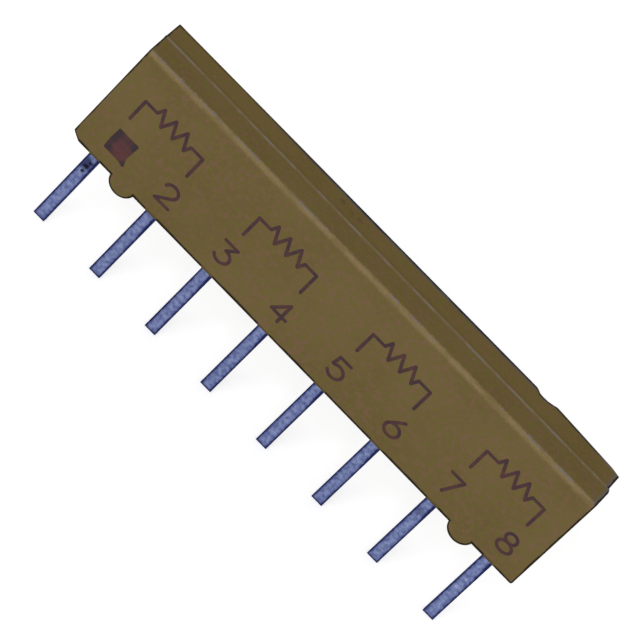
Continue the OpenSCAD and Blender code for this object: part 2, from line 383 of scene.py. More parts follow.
def placed(tree, group, **inputs):
    """Places a node group in a material with its own values, and gives its output."""
    return put(tree, "ShaderNodeGroup", inputs, node_tree=group).outputs[0]


def mottled(tree, position, size, **more):
    """Uneven tone at a size."""
    return placed(tree, mottle_group(), Position=position, Size=size, **more)


def spotted(tree, position, centre, radius):
    """Soft round mask at a centre."""
    return placed(tree, spot_group(), Position=position, Centre=centre, Radius=radius)


def new_finish(name):
    """A new material: its tree, its shader, and the position on the part."""
    material = bpy.data.materials.new(name)
    material.use_nodes = True
    tree = material.node_tree
    shader = tree.nodes["Principled BSDF"]
    position = put(tree, "ShaderNodeTexCoord").outputs["Object"]
    return material, tree, shader, position


def join(tree, shader, base, roughness, height, depth, strength):
    """Joins a colour, a roughness and a raised height to the shader."""
    bump = put(tree, "ShaderNodeBump", {"Strength": strength, "Distance": depth, "Height": height})
    tree.links.new(base, shader.inputs["Base Color"])
    tree.links.new(roughness, shader.inputs["Roughness"])
    tree.links.new(bump.outputs[0], shader.inputs["Normal"])


def to_edges(tree, *pairs):
    """Distance to the nearest edge, each edge given by the distances to its two faces."""
    return least(tree, *[most(tree, first, second) for first, second in pairs])


def from_cut(tree, place, corner, reach):
    """Distance behind the plane that cuts off a corner at three distances along its edges."""
    away = vector_maths(tree, "SUBTRACT", place, corner)
    steep = Vector([1 / r for r in reach])
    shares = vector_maths(tree, "DOT_PRODUCT", away, steep, "Value")
    return maths(tree, "DIVIDE", minus(tree, shares, 1.0), steep.length)


def from_lead(tree, x):
    """Place along the row from the middle of the nearest lead, with its sign."""
    turns = plus(tree, maths(tree, "DIVIDE", minus(tree, x, LEAD_X[0]), PITCH), 0.5)
    return times(tree, minus(tree, maths(tree, "FRACT", turns), 0.5), PITCH)


# Detail of the finer grain, share of the painted edge shade on the epoxy and the leads at its
# fullest, and strength of the bumps
FINE_DETAIL = 4.0
FULL_EDGE_SHADE = 0.95
SOFT_BUMP = 0.2

# Epoxy: share of its grain, fade of a fleck by its tone, shift of the green ones, stretch of scuffs
EPOXY_GRAIN = 0.4
FLECK = (0.4, 1.0, 0.0, 0.6)
GREEN_SHIFT = (0.02, 0.03, 0.01)
SCUFF_STRETCH = (2.5, 1, 1)

# Smudges on the top: place along the row and back, and radius, in millimetres; colour and share
TOP_SMUDGES = [
    (-2.37, 0.62, 0.21, "rear_edge_shade_and_smudge", 0.36),
    (-1.95, 0.53, 0.15, "rear_edge_shade_and_smudge", 0.2),
    (-1.57, 0.55, 0.18, "rear_edge_shade_and_smudge", 0.26),
    (-7.95, 0.38, 0.1, "scuff_and_glint", 0.35),
    (4.0, -0.27, 0.08, "scuff_and_glint", 0.6),
]

# Surface of the epoxy
EPOXY_ROUGHNESS = (0.6, 0.75)
EPOXY_SHINE = 0.06
EPOXY_BUMP = 0.006 * MM
SCUFF_BUMP = 0.4


def plain_epoxy(tree, look, position, grain, red):
    """Epoxy with faint clouds, grain, red and green flecks, and a few smudges on the top."""
    cloud = mottled(tree, position, look.cloud)
    green = mottled(tree, vector_maths(tree, "ADD", position, GREEN_SHIFT), look.fleck)
    body = mixed(tree, cloud, look.epoxy, look.epoxy_shade)
    body = mixed(tree, times(tree, grain, EPOXY_GRAIN), body, look.epoxy_shade)
    body = mixed(tree, ramp(tree, red, *FLECK), body, look.red_fleck)
    body = mixed(tree, ramp(tree, green, *FLECK), body, look.green_fleck)
    for along, back, radius, shade, share in TOP_SMUDGES:
        centre = (along * MM, back * MM, look.body_top - abs(back) * MM * look.draft_slope)
        spot = spotted(tree, position, centre, radius * MM)
        body = mixed(tree, times(tree, spot, share), body, getattr(look, shade))
    return body


def moulding_distances(tree, look, position):
    """Distances from a place on the moulding to its faces, cuts and nick, and the half it is in."""
    x, y, z = split(tree, position)
    half_length, front, back = look.body_length / 2, -FRONT_Y, look.rear_depth
    depth = size_of(tree, y)
    rear = maths(tree, "GREATER_THAN", y, 0.0)
    sloped = times(tree, x, look.rear_slope, rear)
    lean = times(tree, depth, look.draft_slope)

    last_end = minus(tree, half_length, times(tree, rear, look.rear_short))
    to_end = least(tree, minus(tree, last_end, x), plus(tree, x, half_length))
    off_x = minus(tree, size_of(tree, x), STANDOFF_X)
    off_z = minus(tree, z, look.standoff_radius)
    from_standoff = vector_maths(tree, "LENGTH", joined(tree, off_x, 0.0, off_z), gives="Value")

    place = joined(tree, x, minus(tree, y, sloped), z)
    chip_corner = (
        front * look.end_slope - half_length, -front, look.body_bottom + front * look.draft_slope
    )
    worn_corner = (
        half_length - look.rear_short - back * look.end_slope, back,
        look.body_top - back * look.draft_slope,
    )
    cuts = [from_cut(tree, place, worn_corner, reach) for reach in (look.wear, look.corner_wear)]
    return SimpleNamespace(
        x=x, y=y, depth=depth, rear=rear,
        last=maths(tree, "GREATER_THAN", x, 0.0),
        across=minus(tree, to_end, times(tree, depth, look.end_slope)),
        through=plus(tree, minus(tree, between(tree, rear, front, back), depth), sloped),
        below_top=minus(tree, look.body_top, z, lean),
        above_bottom=minus(tree, z, look.body_bottom, lean),
        in_standoff=minus(tree, look.standoff_radius, from_standoff),
        chip=from_cut(tree, place, chip_corner, look.chip),
        worn=least(tree, *cuts),
        worn_x=worn_corner[0],
        from_nick=size_of(tree, minus(tree, x, look.nick_x)),
    )


# How far the dark rim of painted shade lies in from each edge
BOTTOM_SHADE_INSET = 0.02 * MM
STANDOFF_SHADE_INSET = 0.035 * MM
FIRST_END_SHADE_INSET = 0.022 * MM
LAST_END_SHADE_INSET = 0.036 * MM
REAR_SHADE_INSET = 0.025 * MM
WORN_SHADE_INSET = 0.006 * MM

# How far from the rear corner the painted edge shade starts to thin and is thinnest, and how far it
# draws back there
SHADE_EASE_START = 1.2 * MM
SHADE_EASE_FULL = 0.3 * MM
SHADE_HELD_BACK = 0.07 * MM

# The nick: its sides in parts of its length, and where it starts and is full, in from the rear face
NICK_SIDE = (0.4, 0.5)
NICK_BACK = (0.01 * MM, 0.03 * MM)

# Painted shade along the rear edge: where it narrows beside the nick, and how much a distance
# counts there
REAR_NARROWS = (0.25, 0.42)
REAR_COUNTS = (0.25, 0.6)

# Fades of the painted edge shade: from one distance to another, and its mask at each
BESIDE_LEAD = (0.2 * MM, 0.3 * MM, 1.0, 0.0)
OVER_LEAD = (0.2 * MM, 0.4 * MM, 1.0, 0.0)
REAR_FACE = (0.01 * MM, 0.024 * MM, 1.0, 0.0)
REAR_BELOW = (0.3 * MM, 0.5 * MM, 0.0, 1.0)
END_OR_BOTTOM = (0.004 * MM, 0.012 * MM, 1.0, 0.0)
REAR_EDGE = (0.2 * MM, 0.4 * MM, 1.0, 0.0)
OFF_END = (0.1 * MM, 0.3 * MM, 0.0, 1.0)

# Share of the painted edge shade by the leads, on the ends, the bottom and the rear, and along the
# rear edge towards both ends
EDGE_SHADE_BY_LEAD = 0.4
EDGE_SHADE_ON_SIDES = 0.35
EDGE_SHADE_TO_FIRST = (-9.5 * MM, 0.0, 0.45, 1.0)
EDGE_SHADE_TO_LAST = (5.5 * MM, 7.5 * MM, 1.0, 0.85)


def edge_distance(tree, look, at):
    """Distance to the nearest edge that holds the dark rim of painted shade."""
    nick_side = [look.nick_length * part for part in NICK_SIDE]
    in_nick = times(tree, ramp(tree, at.from_nick, *nick_side, 1.0, 0.0), at.rear)
    sunk = times(tree, in_nick, ramp(tree, at.through, *NICK_BACK, 0.0, look.nick_depth))
    upper = minus(tree, least(tree, at.below_top, at.worn), sunk)
    lower = most(
        tree, minus(tree, at.above_bottom, look.edge_radius + BOTTOM_SHADE_INSET),
        minus(tree, at.in_standoff, STANDOFF_SHADE_INSET),
    )
    lower = least(tree, lower, at.chip)
    end = minus(tree, at.across, between(tree, at.last, FIRST_END_SHADE_INSET, LAST_END_SHADE_INSET))
    past_round = minus(tree, at.through, look.edge_radius)

    corner = ramp(tree, at.x, at.worn_x - SHADE_EASE_START, at.worn_x - SHADE_EASE_FULL)
    shade_held_back = times(tree, corner, at.rear, SHADE_HELD_BACK)
    worn_rim = plus(tree, minus(tree, at.worn, WORN_SHADE_INSET), shade_held_back)
    in_front = minus(tree, 1.0, at.rear)
    behind = plus(tree, minus(tree, past_round, REAR_SHADE_INSET), in_front, shade_held_back)
    narrows = [look.nick_length * part for part in REAR_NARROWS]
    behind = times(tree, behind, ramp(tree, at.from_nick, *narrows, *REAR_COUNTS))
    edges = to_edges(
        tree, (end, past_round), (end, upper), (end, lower), (lower, past_round), (upper, behind)
    )
    return least(tree, edges, worn_rim)


def edge_shade_mask(tree, look, at, scuffs):
    """Painted shade along the edges, less of it by the leads, on the ends, the bottom and the rear,
    and towards both ends.
    """
    edge = edge_distance(tree, look, at)
    painted_edge_shade = placed(tree, rim_group(), Distance=edge, Width=look.rim, Uneven=scuffs)
    beside = ramp(tree, size_of(tree, from_lead(tree, at.x)), *BESIDE_LEAD)
    by_lead = times(tree, beside, ramp(tree, at.above_bottom, *OVER_LEAD))

    behind = most(tree, ramp(tree, at.through, *REAR_FACE), ramp(tree, at.below_top, *REAR_BELOW))
    to_side = least(tree, at.across, size_of(tree, at.above_bottom))
    on_sides = most(tree, ramp(tree, to_side, *END_OR_BOTTOM), times(tree, behind, at.rear))

    by_rear = ramp(tree, times(tree, at.through, at.rear), *REAR_EDGE)
    by_rear = times(tree, by_rear, at.rear, ramp(tree, at.across, *OFF_END))
    thinner = times(tree, ramp(tree, at.x, *EDGE_SHADE_TO_FIRST), ramp(tree, at.x, *EDGE_SHADE_TO_LAST))
    return times(
        tree, painted_edge_shade, between(tree, by_lead, 1.0, EDGE_SHADE_BY_LEAD),
        between(tree, on_sides, 1.0, EDGE_SHADE_ON_SIDES), between(tree, by_rear, 1.0, thinner),
    )


# The top edge of the front: size and reach of its unevenness, and fades of its bloom and grey line,
# which are partly wear and partly painted highlight
ROUGH_SIZE = 0.09 * MM
ROUGH_REACH = 0.025 * MM
BLOOM_BELOW = (0.0, 0.23 * MM, 1.0, 0.0)
BLOOM_BEHIND = (0.08 * MM, 0.21 * MM, 1.0, 0.0)
BLOOM_TONE = (0.0, 0.6, 0.5, 1.0)
GREY_OFFSET = 0.075 * MM
GREY_LINE = (0.02 * MM, 0.09 * MM, 1.0, 0.0)
GREY_LIMIT = (0.2 * MM, 0.25 * MM, 1.0, 0.0)
GREY_ROUGH = (0.2, 0.8, 1.0, 0.5)

# How the grey line and the flash line break up, and how they hold together towards the first end
BROKEN_SIZE = 0.36 * MM
BROKEN_STRETCH = (1.2, 1, 1)
GREY_TONE = (0.35, 0.9, 0.0, 0.95)
FLASH_TONE = (0.1, 0.9, 0.45, 1.0)
LINE_TO_FIRST = (-9.2 * MM, -5.5 * MM, 0.5, 0.0)

# The flash line: its fade, its share of grey, and the strip of painted shadow behind it
FLASH_LINE = (0.01 * MM, 0.1 * MM, 1.0, 0.0)
FLASH_GREY = 0.5
SHADOW_STRIP_Y = 0.14 * MM
FLASH_SHADOW_STRIP = (0.02 * MM, 0.1 * MM, 0.07, 0.0)


def edge_lines_and_painted_light(tree, look, at, position, scuffs, body):
    """The bloom and the grey line on the top edge of the front, partly wear and partly painted
    highlight, the flash line behind them, and a painted shadow strip behind the flash line.
    """
    rough = mottled(tree, position, ROUGH_SIZE)
    broken = mottled(tree, position, BROKEN_SIZE, Stretch=BROKEN_STRETCH)
    uneven = between(tree, rough, -ROUGH_REACH, ROUGH_REACH)
    behind = plus(tree, minus(tree, at.y, FRONT_Y), uneven)
    below = plus(tree, at.below_top, uneven)
    # Painted highlight, partly wear: the pale bloom on the rounded top edge of the front
    bloom = times(
        tree, ramp(tree, below, *BLOOM_BELOW), ramp(tree, behind, *BLOOM_BEHIND),
        ramp(tree, scuffs, *BLOOM_TONE),
    )
    body = mixed(tree, bloom, body, look.rubbed_and_highlight)

    by_first = ramp(tree, at.x, *LINE_TO_FIRST)
    grey = most(tree, ramp(tree, broken, *GREY_TONE), by_first)
    # Painted glint, partly scuff: the grey line along that edge
    round_edge = minus(tree, plus(tree, behind, uneven), below)
    from_line = size_of(tree, minus(tree, round_edge, GREY_OFFSET))
    on_line = times(
        tree, ramp(tree, from_line, *GREY_LINE),
        ramp(tree, most(tree, behind, at.below_top), *GREY_LIMIT), ramp(tree, rough, *GREY_ROUGH),
    )
    body = mixed(tree, times(tree, on_line, grey), body, look.scuff_and_glint)

    flash = mixed(tree, times(tree, grey, FLASH_GREY), look.flash, look.scuff_and_glint)
    on_flash = ramp(tree, at.depth, *FLASH_LINE)
    whole = most(tree, ramp(tree, broken, *FLASH_TONE), by_first)
    body = mixed(tree, times(tree, on_flash, whole), body, flash)
    # Painted shadow: a faint dark strip behind the flash line
    from_shadow_strip = size_of(tree, minus(tree, at.y, SHADOW_STRIP_Y))
    return mixed(tree, ramp(tree, from_shadow_strip, *FLASH_SHADOW_STRIP), body, look.edge_shade_colour)


# Painted shade on the top, a warmer and darker cast: its fade below the top and its share on the
# front half
TOP_BAND = (0.03 * MM, 0.08 * MM, 1.0, 0.0)
FRONT_SHADE_SHARE = 0.45

# Painted bluish sheen on the top along the rear edge, and how the blue of that sheen and of the
# painted edge shade fades towards both ends
REAR_SHEEN = (0.08 * MM, 0.29 * MM, 0.75, 0.0)
BLUE_TO_FIRST = (-8 * MM, -1 * MM, 0.0, 1.0)
BLUE_TO_LAST = (5 * MM, 7.5 * MM, 1.0, 0.25)

# Fades of the grey bloom, which is wear on the worn edges and a painted highlight beside the last
# end, and its tone
WORN_BAND = (0.0, 0.03 * MM, 1.0, 0.0)
LAST_END_BAND = (0.08 * MM, 0.22 * MM, 1.0, 0.0)
LAST_TOP_BAND = (0.02 * MM, 0.06 * MM, 1.0, 0.0)
WORN_TONE = (0.55, 1.0)


def sheen_wear_and_edge_shade(tree, look, at, on_top, red, painted_edge_shade, body):
    """A painted bluish sheen along the rear edge, the grey worn edges with a painted highlight
    beside the last end, and a dark rim of painted shade along all the edges.
    """
    blue = times(tree, ramp(tree, at.x, *BLUE_TO_FIRST), ramp(tree, at.x, *BLUE_TO_LAST))
    # Painted sheen: a bluish band on the top along the rear edge
    sheen = times(tree, ramp(tree, at.through, *REAR_SHEEN), at.rear, blue, on_top)
    body = mixed(tree, sheen, body, look.haze)

    # Painted highlight: a grey band on the top beside the last end
    last_end_highlight = times(tree, at.last, ramp(tree, at.below_top, *LAST_TOP_BAND))
    last_end_highlight = times(tree, ramp(tree, at.across, *LAST_END_BAND), last_end_highlight)
    wear_and_highlight = most(tree, ramp(tree, at.worn, *WORN_BAND), last_end_highlight)
    body = mixed(tree, times(tree, wear_and_highlight, between(tree, red, *WORN_TONE)), body, look.worn)

    # Painted shade: a dark rim along all the edges, bluish on the rear half
    edge_shade_tone = mixed(tree, times(tree, at.rear, blue), look.edge_shade_colour, look.rear_edge_shade_and_smudge)
    return mixed(tree, times(tree, painted_edge_shade, FULL_EDGE_SHADE), body, edge_shade_tone)


def epoxy_finish(look):
    """Mustard epoxy with clouds and grain, a pale top edge of the front that is partly wear and
    partly painted highlight, painted shade on the top, a pale flash line with a painted shadow
    behind it, and a dark rim of painted shade along the edges.
    """
    material, tree, shader, position = new_finish("moulded_epoxy")
    at = moulding_distances(tree, look, position)
    grain = mottled(tree, position, look.grain, Detail=FINE_DETAIL)
    red = mottled(tree, position, look.fleck)
    scuffs = mottled(tree, position, look.scuffs, Stretch=SCUFF_STRETCH)

    body = plain_epoxy(tree, look, position, grain, red)
    on_top = ramp(tree, at.below_top, *TOP_BAND)
    # Painted shade: a warmer, darker cast over the top, less of it on the front half
    top_shade = times(tree, on_top, between(tree, at.rear, FRONT_SHADE_SHARE, 1.0))
    body = mixed(tree, top_shade, body, look.top_painted_shade, "MULTIPLY")
    body = edge_lines_and_painted_light(tree, look, at, position, scuffs, body)
    body = sheen_wear_and_edge_shade(tree, look, at, on_top, red, edge_shade_mask(tree, look, at, scuffs), body)

    shader.inputs["Specular IOR Level"].default_value = EPOXY_SHINE
    roughness = between(tree, grain, *EPOXY_ROUGHNESS)
    height = plus(tree, grain, times(tree, scuffs, SCUFF_BUMP))
    join(tree, shader, body, roughness, height, EPOXY_BUMP, SOFT_BUMP)
    return material


# Specks on the leads: lead; place along from its middle, height and radius, in mm; colour and share
SPECKS = [
    # On lead 1 the larger dark spots make the lead darker near the body
    (1, -0.06, -0.66, 0.4, "smudge", 0.85),
    (1, -0.2, -0.5, 0.26, "tarnish_and_edge_shade", 0.6),
    (1, -0.2, -0.9, 0.24, "tarnish_and_edge_shade", 0.6),
    (1, -0.21, -1.3, 0.2, "tarnish_and_edge_shade", 0.5),
    (1, 0.07, -0.57, 0.13, "speck", 0.95),
    (1, 0.05, -0.77, 0.16, "speck", 0.95),
    (1, 0.03, -1.00, 0.13, "speck", 0.9),
    (1, -0.08, -0.78, 0.13, "speck", 0.9),
    (4, -0.08, -1.74, 0.1, "smudge", 0.5),
    (5, 0.0, -2.07, 0.08, "speck", 0.6),
    (7, -0.03, -0.85, 0.3, "smudge", 0.5),
    (8, 0.03, -1.44, 0.1, "bright", 0.8),
    (8, -0.03, -1.92, 0.12, "bright", 0.8),
]
SPECK_RAGGED = 0.05 * MM
SPECK_EDGE = (0.1, 0.7)

# Grain and flecks of the tin: share of the grain, and size and fade of the bright flecks
TIN_GRAIN = 0.35
BRIGHT_SIZE = 0.5
BRIGHT_FLECK = (0.6, 1.0, 0.0, 0.4)

# Edges of the leads, painted shade: growth of the painted shadow on the right edge up a lead, the
# darker band, and unevenness of the dark rim
RIGHT_EDGE_SHADOW = (-1.5 * MM, -0.4 * MM, 0.0, 0.04 * MM)
EDGE_SHADE_BAND = (0.05 * MM, 0.17 * MM, 0.5, 0.0)
EDGE_SHADE_UNEVEN = (0.4, 0.7)

# Surface of the tin
TIN_ROUGHNESS = (0.4, 0.55)
TIN_BUMP = 0.003 * MM


def tin_finish(look):
    """Dull tin with a bluish cast painted in as a reflection, a few specks, and a dark rim of
    painted shade along its sheared edges.
    """
    material, tree, shader, position = new_finish("tinned_lead")
    x, y, z = split(tree, position)
    patch = mottled(tree, position, look.patch)
    grain = mottled(tree, position, look.grain, Detail=FINE_DETAIL)
    fleck = mottled(tree, position, look.patch * BRIGHT_SIZE)

    # The bluish cast of these tin colours is a painted reflection
    tin = mixed(tree, patch, look.tin, look.tin_shade)
    tin = mixed(tree, times(tree, grain, TIN_GRAIN), tin, look.tin_shade)
    tin = mixed(tree, ramp(tree, fleck, *BRIGHT_FLECK), tin, look.bright)

    shift = times(tree, grain, SPECK_RAGGED)
    ragged = vector_maths(tree, "ADD", position, joined(tree, shift, shift, shift))
    for lead, along, height, radius, shade, share in SPECKS:
        centre = (LEAD_X[lead - 1] + along * MM, LEAD_LOW.y, height * MM)
        mask = ramp(tree, spotted(tree, ragged, centre, radius * MM), *SPECK_EDGE)
        tin = mixed(tree, times(tree, mask, share), tin, getattr(look, shade))

    off_middle, half_width = from_lead(tree, x), look.width / 2
    # Painted shadow: the dark rim widens on the right edge of a lead near the body
    right_edge_shadow = ramp(tree, z, *RIGHT_EDGE_SHADOW)
    across = least(
        tree, plus(tree, off_middle, half_width), minus(tree, half_width, right_edge_shadow, off_middle)
    )
    through = minus(tree, LEAD_HIGH.y, size_of(tree, y))
    along = minus(tree, z, LEAD_LOW.z)
    edge = to_edges(tree, (across, through), (across, along), (along, through))
    # Painted shade: darker towards the edges of a lead, with a dark rim along them
    tin = mixed(tree, ramp(tree, edge, *EDGE_SHADE_BAND), tin, look.tin_shade)
    uneven = between(tree, patch, *EDGE_SHADE_UNEVEN)
    tarnish_and_edge_shade = placed(tree, rim_group(), Distance=edge, Width=look.rim, Uneven=uneven)
    tin = mixed(tree, times(tree, tarnish_and_edge_shade, FULL_EDGE_SHADE), tin, look.tarnish_and_edge_shade)

    shader.inputs["Metallic"].default_value = 1.0
    join(tree, shader, tin, between(tree, grain, *TIN_ROUGHNESS), grain, TIN_BUMP, SOFT_BUMP)
    return material


# Streaks in the ink: their stretch along the row and their share
INK_STRETCH = (6, 1, 1)
INK_STREAK = 0.4

# Thin ink in the square: place from its middle in mm, radius in sides, its fade and its streaks
THIN_PLACE = (0.1, -0.06)
THIN_RADIUS = 0.7
THIN_EDGE = (0.05, 0.7)
THIN_STREAK = (0.75, 0.35)

# Pools of ink in the square: place along the row and up from its middle, and radius, in millimetres
INK_POOLS = [
    (-0.36, 0.36, 0.34), (-0.4, 0.08, 0.34), (-0.38, -0.3, 0.32), (0.34, 0.36, 0.3),
    (0.4, -0.44, 0.2),
]
POOL_EDGE = (0.1, 0.8, 0.0, 0.75)

# Surface of the ink
INK_ROUGHNESS = (0.6, 0.48)
INK_SHINE = 0.2
INK_BUMP = 0.004 * MM


def in_square(look, along, up):
    """A place in the square, from its middle, in millimetres."""
    return (look.square_x + along * MM, FRONT_Y, look.square_z + up * MM)


def ink_finish(look):
    """Brown ink, thicker in places and thin in the middle of the square."""
    material, tree, shader, position = new_finish("marking_ink")
    heavy = mottled(tree, position, look.cloud)
    streak = mottled(tree, position, look.streak, Stretch=INK_STRETCH)
    ink = mixed(tree, heavy, look.ink, look.ink_shade)
    ink = mixed(tree, times(tree, streak, INK_STREAK), ink, look.ink_shade)

    thin = spotted(tree, position, in_square(look, *THIN_PLACE), look.square * THIN_RADIUS)
    thin = times(tree, ramp(tree, thin, *THIN_EDGE), between(tree, streak, *THIN_STREAK))
    ink = mixed(tree, thin, ink, look.ink_thin)
    for along, up, radius in INK_POOLS:
        pool = spotted(tree, position, in_square(look, along, up), radius * MM)
        ink = mixed(tree, ramp(tree, pool, *POOL_EDGE), ink, look.ink_heavy)

    shader.inputs["Specular IOR Level"].default_value = INK_SHINE
    join(tree, shader, ink, between(tree, heavy, *INK_ROUGHNESS), streak, INK_BUMP, SOFT_BUMP)
    return material


# Finishes inside, by the start of a node's name: material, two tones, grain in mm, roughness, metal
INSERT = {
    "substrate": ("alumina", (236, 233, 224), (222, 218, 206), 0.05, (0.45, 0.6), 0.0),
    "conductor_": ("silver_print", (196, 192, 184), (158, 152, 142), 0.04, (0.3, 0.45), 1.0),
    "resistor_film_": ("resistor_print", (40, 40, 44), (24, 24, 27), 0.05, (0.4, 0.6), 0.0),
    "overglaze": ("glass_coat", (56, 88, 72), (44, 72, 60), 0.3, (0.12, 0.2), 0.0),
    "solder_joint_": ("solder", (186, 188, 192), (146, 148, 154), 0.09, (0.25, 0.4), 1.0),
}
PRINT_DETAIL = 5.0
PRINT_BUMP = 0.3
PRINT_BUMP_DEPTH = 0.1


def plain_print_finish(name, light, dark, millimetres, roughness, metallic):
    """A fired print, ceramic or solder: two tones of one colour in grains of one size."""
    material, tree, shader, position = new_finish(name)
    size = millimetres * MM
    grain = mottled(tree, position, size, Detail=PRINT_DETAIL)
    base = mixed(tree, grain, from_screen(*light), from_screen(*dark))
    shader.inputs["Metallic"].default_value = metallic
    rough = between(tree, grain, *roughness)
    join(tree, shader, base, rough, grain, size * PRINT_BUMP_DEPTH, PRINT_BUMP)
    return material


def dress(node, material):
    """Gives a CAD node its finish."""
    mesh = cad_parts[node].data
    mesh.materials.clear()
    mesh.materials.append(material)


class NETWORK_OT_moulding(bpy.types.Operator):
    """Finish the moulded body"""

    bl_idname = "network.moulding"
    bl_label = "Moulded Body"

    def execute(self, context):
        dress("moulded_body", epoxy_finish(context.scene.network_moulding))
        return {"FINISHED"}


# Rounding of the leads: corners merged before it, its steps, and the least turn that is rounded
WELD_REACH = 0.0005 * MM
ROUND_STEPS = 2
ROUND_TURN = math.radians(40)


class NETWORK_OT_leads(bpy.types.Operator):
    """Finish the eight leads and round over their sheared edges"""

    bl_idname = "network.leads"
    bl_label = "Leads"

    def execute(self, context):
        look = context.scene.network_leads
        tin = tin_finish(look)
        for lead in LEADS:
            dress(lead, tin)
            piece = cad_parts[lead]
            weld = piece.modifiers.new("weld", "WELD")
            weld.merge_threshold = WELD_REACH
            rounding = piece.modifiers.new("round_over", "BEVEL")
            rounding.width = look.round_over
            rounding.segments = ROUND_STEPS
            rounding.limit_method = "ANGLE"
            rounding.angle_limit = ROUND_TURN
        return {"FINISHED"}


class NETWORK_OT_insert(bpy.types.Operator):
    """Finish the ceramic, the prints and the solder inside"""

    bl_idname = "network.insert"
    bl_label = "Insert"

    def execute(self, context):
        for start, finish in INSERT.items():
            material = plain_print_finish(*finish)
            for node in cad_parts:
                if node.startswith(start):
                    dress(node, material)
        return {"FINISHED"}


def arc(centre_x, centre_z, radius_x, radius_z, start, end, steps=14):
    """Points along part of an ellipse, between two angles in degrees."""
    turns = [math.radians(start + (end - start) * i / steps) for i in range(steps + 1)]
    return [(centre_x + radius_x * math.cos(t), centre_z + radius_z * math.sin(t)) for t in turns]


# Strokes of each figure in a box one unit high, with the foot at 0 and the middle at 0 across
FIGURES = {
    2: [arc(0, 0.7, 0.33, 0.3, 165, -38) + [(-0.36, 0), (0.37, 0)]],
    3: [[(-0.33, 1), (0.33, 1), (-0.03, 0.62)] + arc(0, 0.31, 0.35, 0.31, 88, -155)],
    4: [[(0.16, 0), (0.16, 1), (-0.38, 0.3), (0.38, 0.3)]],
    5: [[(0.32, 1), (-0.24, 1), (-0.3, 0.56)] + arc(0, 0.32, 0.35, 0.32, 128, -150)],
    6: [[(0.22, 1), (-0.02, 0.78)] + arc(0, 0.31, 0.35, 0.31, 150, 510)],
    7: [[(-0.34, 1), (0.34, 1), (-0.12, 0)]],
    8: [arc(0, 0.76, 0.27, 0.24, 0, 360), arc(0, 0.26, 0.35, 0.26, 0, 360)],
}

# Outline of the square in halves of its side: hollow sides, and a drip at the foot towards lead 2
SQUARE = [
    (-0.93, -0.97), (0, -0.97), (0.61, -0.99), (0.97, -1.12), (0.75, -0.47),
    (0.77, 0), (0.85, 1.05), (0, 1.02), (-0.93, 1.06), (-0.98, 0),
]

# A resistor symbol: peaks of its zigzag, and parts of the pitch, with a straight one at each side
PEAKS = 6
PITCH_PARTS = 5

# Steps round the end of a stroke, and the distance within which corners of the print merge
END_STEPS = 6
MERGE_REACH = 1e-9


def zigzag(start, end, height, swing):
    """Points of a resistor symbol's zigzag along a line between two places along the row."""
    step = (end - start) / (2 * PEAKS)
    sides = [swing if i % 2 == 0 else -swing for i in range(PEAKS)]
    tops = [(start + step * (2 * i + 1), height + side) for i, side in enumerate(sides)]
    return [(start, height), *tops, (end, height)]


def capsule(first, last, half_width):
    """Outline of one straight run of a stroke, with round ends."""
    run = Vector(last) - Vector(first)
    heading = math.atan2(run.y, run.x)
    outline = []
    for (x, z), turn in ((last, heading - math.pi / 2), (first, heading + math.pi / 2)):
        for i in range(END_STEPS + 1):
            way = turn + math.pi * i / END_STEPS
            outline.append((x + half_width * math.cos(way), z + half_width * math.sin(way)))
    return outline


def runs(strokes, half_width):
    """Outlines of all the straight runs of some strokes."""
    return [capsule(a, b, half_width) for stroke in strokes for a, b in zip(stroke, stroke[1:])]


def printed(name, outlines, look):
    """A film of ink on the front face, merged from outlines drawn along the row and up."""
    points, faces = [], []
    for outline in outlines:
        faces.append(list(range(len(points), len(points) + len(outline))))
        points += [Vector(p) for p in outline]
    corners, _, triangles, _, _, inside = delaunay_2d_cdt(points, [], faces, 0, MERGE_REACH)
    mesh = bmesh.new()
    front = FRONT_Y - look.ink_film
    made = [mesh.verts.new((c.x, front, c.y)) for c in corners]
    kept = [triangle for triangle, owners in zip(triangles, inside) if owners]
    film = [mesh.faces.new([made[i] for i in triangle]) for triangle in kept]
    bmesh.ops.delete(mesh, geom=[v for v in mesh.verts if not v.link_faces], context="VERTS")
    backs = bmesh.ops.extrude_face_region(mesh, geom=film)["geom"]
    backs = [v for v in backs if isinstance(v, bmesh.types.BMVert)]
    bmesh.ops.translate(mesh, verts=backs, vec=(0, look.ink_film + look.ink_key, 0))
    bmesh.ops.recalc_face_normals(mesh, faces=mesh.faces)
    data = bpy.data.meshes.new(name)
    mesh.to_mesh(data)
    mesh.free()
    piece = bpy.data.objects.new(name, data)
    bpy.context.scene.collection.objects.link(piece)
    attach(piece, "root")
    return piece


class NETWORK_OT_marking(bpy.types.Operator):
    """Print the square beside lead 1, the lead numbers and the resistor symbols"""

    bl_idname = "network.marking"
    bl_label = "Marking"

    def execute(self, context):
        look = context.scene.network_marking
        ink = ink_finish(look)
        half_stroke = look.stroke / 2
        side = look.square / 2
        square = [(look.square_x + a * side, look.square_z + b * side) for a, b in SQUARE]
        edges = runs([square + square[:1]], look.square_round)

        figures = []
        for number, strokes in FIGURES.items():
            middle, foot, size = LEAD_X[number - 1], look.figure_foot, look.figure_height
            figures += [[(middle + a * size, foot + b * size) for a, b in s] for s in strokes]

        symbols = []
        for first, last in zip(LEAD_X[::2], LEAD_X[1::2]):
            inset = (last - first) / PITCH_PARTS
            turns = zigzag(first + inset, last - inset, look.symbol_line, look.symbol_swing)
            symbols.append([(first, look.symbol_foot), (first, look.symbol_line), *turns])
            symbols.append([turns[-1], (last, look.symbol_line), (last, look.symbol_foot)])

        for name, outlines in (
            ("lead_one_mark", [square, *edges]),
            ("lead_numbers", runs(figures, half_stroke)),
            ("circuit_symbols", runs(symbols, half_stroke)),
        ):
            printed(name, outlines, look).data.materials.append(ink)
        return {"FINISHED"}


